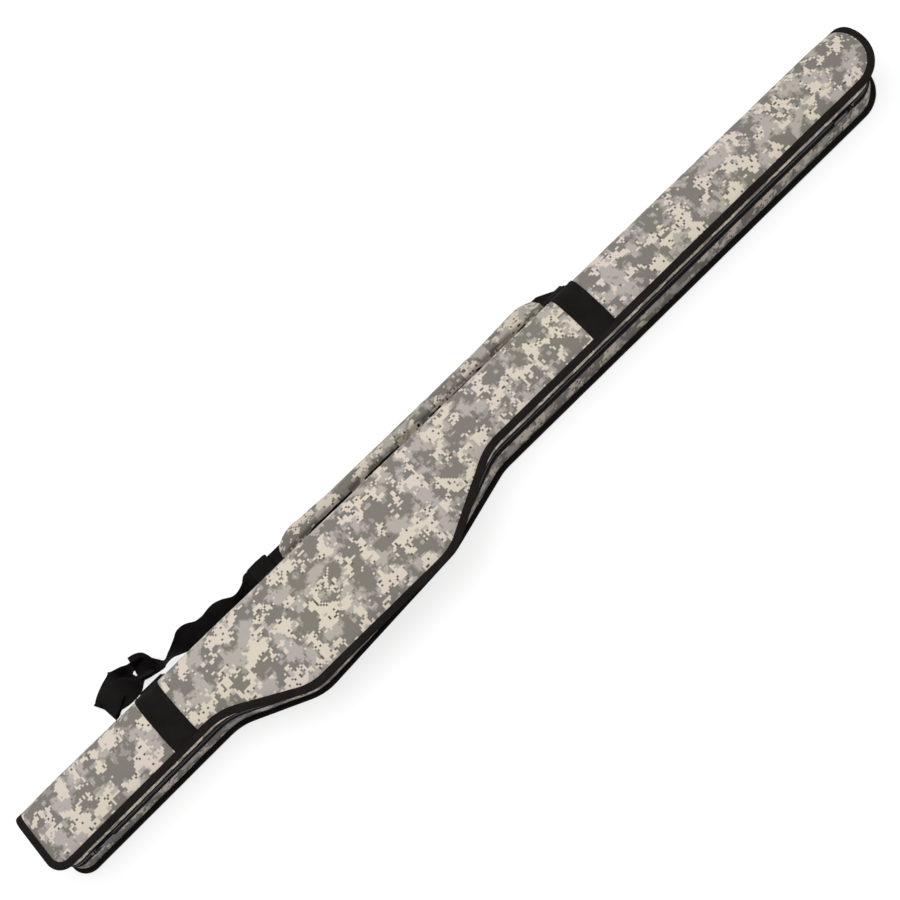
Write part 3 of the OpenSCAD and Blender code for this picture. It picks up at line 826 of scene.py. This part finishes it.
def band(name, x, node):
    """Webbing over the front from the bound seam to the spine, following the crown."""
    edge = FRONT.rail(BAND_FOOT_D, FRONT.bend_u + 30)
    lower = edge[STRAIGHTS[0]:-PANEL_NOSE]
    u0 = np.interp(x, lower[:, 0], lower[:, 1])
    u = np.linspace(u0, FRONT.u_at(BAND_END_Z), 72)
    across = np.linspace(-WEB_W / 2, WEB_W / 2, 9)
    grid_x, grid_u = np.meshgrid(x + across, u)
    h = front_height(grid_x, grid_u)
    h = np.maximum(h, h.mean(axis=1)[:, None] - 0.2) + 0.15
    top = FRONT.place(grid_x, grid_u, h + WEB_THICK)
    low = FRONT.place(grid_x, grid_u, h)
    edge_a = FRONT.place(grid_x[:, -1] + 0.5, u, h[:, -1] + WEB_THICK / 2)[:, None]
    edge_b = FRONT.place(grid_x[:, 0] - 0.5, u, h[:, 0] + WEB_THICK / 2)[:, None]
    rings = np.concatenate([top, edge_a, low[:, ::-1], edge_b], axis=1)
    strip = loft(name, rings, WEB, u=u, caps=True)
    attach(strip, "lid")
    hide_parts(node)
    for k, inset in enumerate((3.0, WEB_W - 3.0)):
        xs = np.full(len(u) - 3, x - WEB_W / 2 + inset)
        us = u[1:-2]
        p = FRONT.place(xs, us, front_height(xs, us) + 1.75)
        _, _, ny, nz = FRONT.section(us)
        normal = np.stack([0 * ny, ny, nz], -1)
        row = stitches(f"{name}_stitches_{k}", p, normal, np.gradient(p, axis=0), THREAD, 3.6, 2.5, 0.4)
        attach(row, "lid")


band("tail_webbing_band", TAIL_BAND, "tail_band")
band("tip_webbing_band", TIP_BAND, "tip_band")

# ---- rings and tabs

TAB_Z, RING_Y, RING_REACH, DROOP = 24.0, 56.5, 15.0, math.radians(20)
RING_HALF, RING_CORNER, WIRE_R = 22.0, 3.2, 2.0
TURN_R = 3.1
TAB_SEWN_Y = 51.0
OUT_Y, OUT_Z = RING_Y + RING_REACH * math.cos(DROOP), TAB_Z - RING_REACH * math.sin(DROOP)


def ring(name, x, node):
    """A welded wire ring with rounded corners, hanging from its tab."""
    side, far = RING_HALF - RING_CORNER, RING_REACH - RING_CORNER
    corners = [(side, RING_CORNER, -90), (side, far, 0), (-side, far, 90), (-side, RING_CORNER, 180)]
    path = []
    for cx, cy, a0 in corners:
        for a in np.radians(np.linspace(a0, a0 + 90, 7)):
            path.append((cx + RING_CORNER * math.cos(a), cy + RING_CORNER * math.sin(a)))
    points = [(x + a, RING_Y + b * math.cos(DROOP), TAB_Z - b * math.sin(DROOP)) for a, b in path]
    made = tube(name, points, WIRE_R, STEEL, closed=True)
    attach(made, "case_back")
    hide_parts(node)


def tab(name, x, node):
    """Webbing folded round the ring's inner bar, its two plies sewn to the spine."""
    r = TURN_R
    path = [(TAB_SEWN_Y, 33.8), (TAB_SEWN_Y, 29.5), (51.6, 27.4), (53.4, TAB_Z + r * 0.95)]
    for a in np.radians(np.linspace(100, -100, 13)):
        path.append((RING_Y + r * math.cos(a), TAB_Z + r * math.sin(a)))
    path += [(53.2, TAB_Z - r * 0.95), (51.8, 20.4)] + [(TAB_SEWN_Y, z) for z in (18.2, 12.0, 7.6)]
    centre = resample([(x, y, z) for y, z in path], 40)
    strip = ribbon(name, centre, [(1, 0, 0)] * len(centre), WEB_W - 1, WEB_THICK, WEB)
    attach(strip, "case_back")
    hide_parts(node)
    for k, z in enumerate((32.0, 15.5, 10.0)):
        p = np.array([(x + a, TAB_SEWN_Y + 0.95, z) for a in np.linspace(-15, 15, 12)])
        normal = np.array([(0, 1, 0)] * len(p), float)
        along = np.array([(1, 0, 0)] * len(p), float)
        row = stitches(f"{name}_stitches_{k}", p, normal, along, THREAD, 3.4, 2.4, 0.4)
        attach(row, "case_back")


def resample(points, count):
    """count points evenly along a smooth curve through points."""
    p = np.asarray(points, float)
    ext = np.vstack([p[:1], p, p[-1:]])
    fine = []
    for i in range(len(p) - 1):
        a, b, c, d = ext[i:i + 4]
        for s in np.linspace(0, 1, 12, endpoint=False):
            fine.append(0.5 * (2 * b + (c - a) * s + (2 * a - 5 * b + 4 * c - d) * s * s
                               + (3 * b - a - 3 * c + d) * s ** 3))
    fine.append(p[-1])
    fine = np.array(fine)
    s = lengths(fine[:, :3])
    return sample(np.linspace(0, s[-1], count), s, fine).T


for place, x in (("tail", TAIL_BAND), ("tip", TIP_BAND)):
    ring(f"{place}_wire_ring", x, f"{place}_ring")
    tab(f"{place}_webbing_tab", x, f"{place}_ring_tab")

# ---- strap

# Each stretch's route, as points that the webbing passes through: x, y, z and its lean in degrees
TAIL_RUN = [
    (-322, 79, 7.4, 89), (-331, 77, 10, 66), (-343, 70, 17.2, 30), (-359, 67.5, 18.2, 25),
    (-377, 74, 15, 43), (-391, 78, 14.7, 45),
    (-408, 76, 14.7, 45), (-422, 78, 14.7, 45), (-436, 86, 16, 38), (-447, 86.5, 16.8, 35),
    (-457, 84, 19, 16), (-470, 82.5, 19.7, -4), (-482, 82, 19, -16), (-491, 86, 19.8, 6),
    (-498, 92, 18.9, 32), (-507, 99, 17.5, 58), (-517, 104, 16, 73), (-524, 106, 15, 80)]
SLACK = [
    (-504, 105, 19.2, 4), (-514, 108, 19.2, -2), (-525, 111, 19.2, -4), (-536, 112, 18.8, 15),
    (-546, 112, 12.8, 54), (-556, 111.5, 7.6, 82), (-565, 109.5, 6.8, 90), (-575, 105, 6.4, 90),
    (-585, 98.5, 6, 90), (-589, 96, 4.1, 90), (-585, 98.5, 2.2, 90), (-575, 102, 1.3, 90),
    (-562, 100, 3, 84), (-550, 97, 10, 62), (-538, 94, 16.8, 30), (-526, 91, 19.2, -4),
    (-514, 88, 19.4, -8), (-504, 86, 19.4, -12)]
RETURN = [(-494, 58, 19.4, 10), (-470, 58, 19.4, 10), (-342, 58, 19.4, 10)]


def strap(name, route, count, node):
    """Webbing along a route, where lean turns its top edge from upright towards +Y."""
    p = resample(route, count)
    lean = np.radians(p[:, 3])
    across = np.column_stack([0 * lean, np.sin(lean), np.cos(lean)])
    made = ribbon(name, p[:, :3], across, WEB_W, WEB_THICK, WEB)
    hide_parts(node)
    return made


# The first stretch, which comes out of the adjuster, is baked in place and joined to no body
tail_run = strap("tail_run", TAIL_RUN, 150, "strap_tail_run")
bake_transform(tail_run)
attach(strap("slack_loop", SLACK, 150, "strap_slack_loop"), "case_back")
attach(strap("return_ply", RETURN, 60, "strap_return_ply"), "case_back")


def base_strap():
    """The strap under the pad, flat on the floor, its tip end folded off at a slant."""
    low, high = mm_box("strap_webbing")
    z_low, z_mid, z_high = 0.1, 0.85, 1.6
    slant, cut = 34, 17.5
    slant_x = high[0] - slant
    xs = np.concatenate([np.linspace(low[0], slant_x, 110), np.linspace(slant_x, high[0], 14)[1:]])
    rings = []
    for x in xs:
        far_y = high[1] - max(0.0, x - high[0] + slant) * cut / slant
        ys = np.linspace(low[1] + 0.6, far_y - 0.6, 9)
        upper = [(x, y, z_high) for y in ys]
        under = [(x, y, z_low) for y in ys[::-1]]
        rings.append(upper + [(x, far_y, z_mid)] + under + [(x, low[1], z_mid)])
    made = loft("base_strap", rings, WEB, u=xs, caps=True)
    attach(made, "case_back")
    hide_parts("strap_webbing")


base_strap()


def turn(name, x, tongue, node):
    """The strap's end round a ring's outer bar, with the tongue that is sewn down."""
    r, slope = TURN_R, math.radians(50)
    line = [(r + tongue, 0.0), (r + tongue * 0.5, 0.0)]
    line += [(r * math.cos(a), r * math.sin(a)) for a in np.radians(np.linspace(20, 320, 30))]
    centre = []
    for a, b in line:
        y = a * math.cos(-slope) - b * math.sin(-slope)
        z = a * math.sin(-slope) + b * math.cos(-slope)
        centre.append((x, OUT_Y + y, OUT_Z + z))
    centre = resample(centre, 60)
    made = ribbon(name, centre, [(1, 0, 0)] * len(centre), WEB_W, WEB_THICK - 0.1, WEB)
    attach(made, "case_back")
    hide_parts(node)


turn("tip_strap_end", TIP_BAND, 17.0, "strap_tip_turn")
turn("tail_strap_end", TAIL_BAND, 4.0, "strap_tail_turn")

# ---- shoulder pad


def loose(obj, pressure, cap, frames=20):
    """Puffs a closed mesh with a short cloth run and keeps the result, no point moving more than cap."""
    scene = bpy.context.scene
    before = np.array([v.co for v in obj.data.vertices])
    cloth = obj.modifiers.new("puff", "CLOTH")
    cloth.settings.use_pressure = True
    cloth.settings.uniform_pressure_force = pressure
    cloth.settings.effector_weights.gravity = 0
    cloth.settings.quality = 6
    cloth.point_cache.frame_start, cloth.point_cache.frame_end = 1, frames
    for f in range(1, frames + 1):
        scene.frame_set(f)
    dg = bpy.context.evaluated_depsgraph_get()
    after = np.array([v.co for v in obj.evaluated_get(dg).data.vertices])
    obj.modifiers.remove(cloth)
    scene.frame_set(1)
    move = after - before
    size = np.linalg.norm(move, axis=1)[:, None]
    move *= np.minimum(1, cap * MM / np.maximum(size, 1e-9))
    obj.data.vertices.foreach_set("co", (before + move).ravel())
    obj.data.update()


def bake(obj):
    """Turns the object's modifiers into its mesh."""
    dg = bpy.context.evaluated_depsgraph_get()
    mesh = bpy.data.meshes.new_from_object(obj.evaluated_get(dg))
    obj.modifiers.clear()
    obj.data = mesh
    return mesh


def rounded(value, power):
    return math.copysign(abs(value) ** power, value)


PAD_VOXEL = 4.0
PAD_PRESSURE, PAD_PUFF = 4.0, 5.0
PAD_CREASE_Y, PAD_SEAM_IN = 24.5, 5
PAD_PRINT = (40, 200)


def pad_blank(low, high):
    """The pad before it is puffed: rounded sections that narrow towards both ends."""
    mid_y = (low[1] + high[1]) / 2
    width, thick = high[1] - low[1], high[2] - low[2]
    xs = np.linspace(low[0] + 1, high[0] + 7, 98)
    rings = []
    for x in xs:
        end = min(x - xs[0], xs[-1] - x) + 0.5
        half = (width / 2 - 1.5) * (0.62 + 0.38 * float(smoothstep(0, 42, end)) ** 0.8)
        half *= math.sqrt(max(0.08, 1 - max(0, 1 - end / 8) ** 2))
        tall = (thick / 2 + 1.2) * (0.5 + 0.5 * float(smoothstep(0, 30, end)))
        rings.append([(x, mid_y + half * rounded(math.cos(a), 0.45),
                       low[2] + 0.4 + tall + tall * rounded(math.sin(a), 0.6))
                      for a in np.linspace(0, 2 * math.pi, 28, endpoint=False)])
    pad = loft("strap_pad", rings, CAMO, caps=True, flip=True)
    voxels = pad.modifiers.new("voxels", "REMESH")
    voxels.mode = "VOXEL"
    voxels.voxel_size = PAD_VOXEL * MM
    bake(pad)
    return pad


def pad_relief(co, low, high):
    """Presses the crease, the seam and ripples into the pad's points, and says how far each point is
    over the crease, from 0 on the pad to 1 on its flat inner edge."""
    top = co[:, 2] > (low[2] + high[2]) / 2 + 1.5
    crease = low[1] + PAD_CREASE_Y + 3 * ripple(co[:, 0], 0, 9.2, 80) + 1.5 * ripple(co[:, 0], 0, 3.3, 25)
    inner = 1 - smoothstep(-3, 3.5, co[:, 1] - crease)
    co[:, 2] -= np.where(top, co[:, 2] - low[2] - 3, 0) * 0.9 * inner
    seam = np.exp(-((co[:, 1] - (high[1] - PAD_SEAM_IN)) / 1.6) ** 2)
    co[:, 2] -= np.where(top, 1, 0) * 0.9 * seam
    wrinkle = 0.9 * ripple(co[:, 0], co[:, 1], 7.7, 34) + 0.5 * ripple(co[:, 0], co[:, 1], 1.1, 14)
    co[:, 2] += np.where(top, 1, 0.2) * wrinkle
    co[:, 2] = np.maximum(co[:, 2], low[2] - 0.1)
    return inner


def pad_print(mesh, co, mid_y):
    """Lays the print over the pad: its lengths climb the near side and go down the far one."""
    layer = mesh.uv_layers.get("UVMap") or mesh.uv_layers.new(name="UVMap")
    over = smoothstep(mid_y - 12, mid_y + 12, co[:, 1])
    climb = (1 - over) * co[:, 2] + over * (2 * co[:, 2].max() - co[:, 2])
    flat = np.column_stack([co[:, 0] + PAD_PRINT[0], co[:, 1] + 0.8 * climb + PAD_PRINT[1]]) * MM
    index = np.zeros(len(mesh.loops), int)
    mesh.loops.foreach_get("vertex_index", index)
    layer.data.foreach_set("uv", flat[index].ravel())


def shoulder_pad():
    """The padded sleeve on the strap: puffed and creased along its inner side, the crease's faces in black
    tape as painted shade.
    """
    low, high = mm_box("shoulder_pad")
    pad = pad_blank(low, high)
    loose(pad, PAD_PRESSURE, PAD_PUFF)
    sub = pad.modifiers.new("fine", "SUBSURF")
    sub.levels = sub.render_levels = 1
    mesh = bake(pad)
    co = np.array([v.co for v in mesh.vertices]) / MM
    inner = pad_relief(co, low, high)
    mesh.vertices.foreach_set("co", (co * MM).ravel())
    pad_print(mesh, co, (low[1] + high[1]) / 2)
    mesh.materials.clear()
    mesh.materials.append(PAD_CAMO_PAINTED_SHADE)
    mesh.materials.append(TAPE)
    # Faces over the crease take the black tape: painted shade where the spine's shade falls into the crease
    crease_painted_shade = np.array([all(0.45 < inner[v] < 0.985 for v in f.vertices) for f in mesh.polygons])
    mesh.polygons.foreach_set("material_index", crease_painted_shade.astype(np.int32))
    mesh.polygons.foreach_set("use_smooth", [True] * len(mesh.polygons))
    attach(pad, "case_back")
    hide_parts("shoulder_pad")


shoulder_pad()

# ---- hardware kept from the frame


def finish_node(node, material, edge):
    """Gives a piece of the frame its material and bevels its edges by edge mm."""
    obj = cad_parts[node]
    obj.data.materials.clear()
    obj.data.materials.append(material)
    bevel = obj.modifiers.new("edge", "BEVEL")
    bevel.width = edge * MM
    bevel.segments = 2
    bevel.limit_method = "ANGLE"


for node in ("tip_zip_slider", "tail_zip_slider", "tip_zip_pull", "tail_zip_pull"):
    finish_node(node, STEEL, 0.35)
finish_node("strap_adjuster", PLASTIC, 0.8)
for node in ("back_board", "front_board"):
    finish_node(node, BOARD, 0.2)


def adjuster_turn():
    """The strap round the adjuster's middle bar, and the slack that bulges over it."""
    low, high = mm_box("adjuster_turn")
    bar_top = mm_box("strap_adjuster")[1][2]
    mid = (low + high) / 2
    z0, top = low[2] + WEB_THICK / 2, high[2] - 0.8
    over = bar_top + 1.2
    half = [(3.7, z0 + 1.0), (3.9, over - 2.5), (5.0, over - 0.2), (10.0, over + 0.4),
            (15.4, over + 0.6), (16.3, over + 2.0), (13.0, over + 4.8), (7.0, top - 0.9)]
    line = [(-2.2, z0), (2.0, z0)] + half + [(0.0, top)]
    line += [(-a, z) for a, z in half[::-1]] + [(-3.0, z0 + 0.2)]
    centre = resample([(mid[0] + a, mid[1], z) for a, z in line], 110)
    made = ribbon("adjuster_web_turn", centre, [(0, 1, 0)] * len(centre), WEB_W, WEB_THICK, WEB)
    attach(made, "adjuster")
    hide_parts("adjuster_turn")


adjuster_turn()

# ---- inside


QUILT_PITCH, QUILT_RISE, QUILT_BASE = 64, 1.3, 0.9
LINING_TOP_Y, STRIP_FOOT_Y, STRIP_BEND = 38.0, 34.0, 7.0
LINING_GRID_X, LINING_GRID_Y = 740, 34
# Distance in from the edge, and how far the lining has turned from the wall's foot to its flat
LINING_INSETS = [12.9, 13.2, 14.6, 17.0, 21.0, 27.0]
LINING_DEPTHS = [0.1, 0.5, 0.8, 0.95, 1.0, 1.0]


def from_line(v):
    """Distance from the nearest of a set of parallel quilting lines."""
    return np.abs((v / QUILT_PITCH + 0.5) % 1 - 0.5) * QUILT_PITCH


def faces_of_lining(node, side):
    """The heights of the lining's padded face and of its back."""
    low, high = mm_box(node)
    return (low[2], high[2]) if side.front else (high[2], low[2])


def lining(name, side, node, body):
    """Padded lining over a board, from wall to wall, quilted except along the spine."""
    sign = 1 if side.front else -1
    z_face, z_back = faces_of_lining(node, side)
    rails = [wall_rail(d, side.t * DEPTH, LINING_TOP_Y) for d in LINING_INSETS]

    def away(loop, grid):
        return np.min(np.linalg.norm(grid[:, None] - loop[None], axis=2), axis=1) > CELL * 0.55

    flat, faces = strips_and_grid(rails, lattice(-LINING_GRID_X, LINING_GRID_X, LINING_GRID_Y), away)
    depth = np.ones(len(flat))
    turned = np.repeat(LINING_DEPTHS, len(rails[0]))
    depth[:len(turned)] = turned
    x, y = flat[:, 0], flat[:, 1]
    quilt = smoothstep(0, 11, from_line(x + y)) * smoothstep(0, 11, from_line(x - y))
    z = z_back + (z_face - z_back) * depth
    swell = QUILT_RISE * quilt * (1 - smoothstep(10, 27, y)) - QUILT_BASE
    z += -sign * swell * smoothstep(0.9, 1.0, depth)
    if side.front:
        faces = [f[::-1] for f in faces]
    uvs = [flat[i] for f in faces for i in f]
    made = finish_mesh(name, np.column_stack([x, y, z]), faces, uvs, [LINING])
    solid = made.modifiers.new("thick", "SOLIDIFY")
    solid.thickness = 0.8 * MM
    solid.offset = -1
    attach(made, body)
    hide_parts(node)
    spine_strip(name, side, z_face, sign, body)


def spine_strip(name, side, z_face, sign, body):
    """The lining's edge, turned up the spine's inner face as far as the hinge."""
    xs = np.linspace(TAIL_X + 12.5, 728.0, 150)
    section = [(STRIP_FOOT_Y, z_face)]
    for a in np.radians(np.linspace(0, 90, 7)):
        drop = sign * STRIP_BEND * (math.cos(a) - 1)
        section.append((LINING_TOP_Y + STRIP_BEND * math.sin(a), z_face + drop))
    end = HINGE_Z + sign * 5.8
    section += [(45.0, end), (46.2, end), (46.2, z_face - sign * 6)]
    section += [(39.0, z_face + sign * 1.2), (STRIP_FOOT_Y, z_face + sign * 1.2)]
    rings = [[(x, y, z) for y, z in section] for x in xs]
    strip = loft(name + "_spine_strip", rings, LINING, u=xs, caps=True, flip=side.front)
    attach(strip, body)


lining("back_quilted_lining", BACK, "back_lining", "case_back")
lining("front_quilted_lining", FRONT, "front_lining", "lid")


def rod_tie(node):
    """A hook-and-loop tie, closed on itself: a flat tab with a raised, rounded overlap."""
    low, high = mm_box(node)
    mid_x = (low[0] + high[0]) / 2
    ys = np.linspace(low[1] + 0.5, high[1] - 0.5, 40)
    overlap = smoothstep(low[1] + 14, low[1] + 18, ys) * (1 - smoothstep(high[1] - 8, high[1] - 4, ys))
    line = [(mid_x, y, low[2] + 0.9 + 0.8 * a) for y, a in zip(ys, overlap)]
    made = ribbon(node + "_strip", line, [(1, 0, 0)] * len(line), high[0] - low[0], WEB_THICK, LOOP)
    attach(made, "case_back")
    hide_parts(node)


for node in ("rod_tie_tail", "rod_tie_middle", "rod_tie_tip"):
    rod_tie(node)

# ---- floor, light, camera

floor_material, tree, bsdf = new_material("floor", 0.9, **{"Emission Strength": 0.72})
speck = add(tree, "TexNoise", {"Scale": 60.0, "Detail": 3.0}).outputs[0]
tree.links.new(mix(tree, speck, srgb(146, 146, 146), srgb(150, 150, 150)), bsdf.inputs["Base Color"])
half = 9000
corners = [(-half, -half, 0), (half, -half, 0), (half, half, 0), (-half, half, 0)]
floor = finish_mesh("floor", corners, [[0, 1, 2, 3]], None, [floor_material])
floor.location.z = min(CAD_BOX[0][2], 0) - 0.0006

world = bpy.data.worlds.new("studio")
world.use_nodes = True
sky = world.node_tree.nodes["Background"]
sky.inputs["Color"].default_value = (1.0, 1.0, 1.0, 1.0)
sky.inputs["Strength"].default_value = 0.6
bpy.context.scene.world = world


def lamp(name, place, target, size, watts):
    """A round area light, aimed at target."""
    light = bpy.data.lights.new(name, "AREA")
    light.shape, light.size, light.energy = "DISK", size, watts
    obj = bpy.data.objects.new(name, light)
    obj.location = place
    obj.rotation_mode = "QUATERNION"
    obj.rotation_quaternion = (Vector(target) - Vector(place)).to_track_quat("-Z", "Y")
    bpy.context.scene.collection.objects.link(obj)


lamp("key", (-0.5, 0.7, 3.0), (0, 0, 0), 2.6, 62)
lamp("fill", (1.4, -0.6, 2.8), (0, 0, 0), 2.2, 14)

# The view is from above and from the belly's side, rolled so that the case runs from corner to corner
camera_data = bpy.data.cameras.new("photo_view")
camera_data.lens, camera_data.sensor_width = 63.6, 36
camera = bpy.data.objects.new("photo_view", camera_data)
seen_from, aimed_at = Vector((-0.1516, -0.7396, 1.9840)), Vector((-0.0191, 0.0245, 0.0))
roll = math.radians(-34.89)
aim = (aimed_at - seen_from).to_track_quat("-Z", "Y").to_matrix()
camera.matrix_world = Matrix.Translation(seen_from) @ (aim @ Matrix.Rotation(roll, 3, "Z")).to_4x4()
bpy.context.scene.collection.objects.link(camera)
bpy.context.scene.camera = camera
bpy.context.scene.view_settings.view_transform = "Standard"
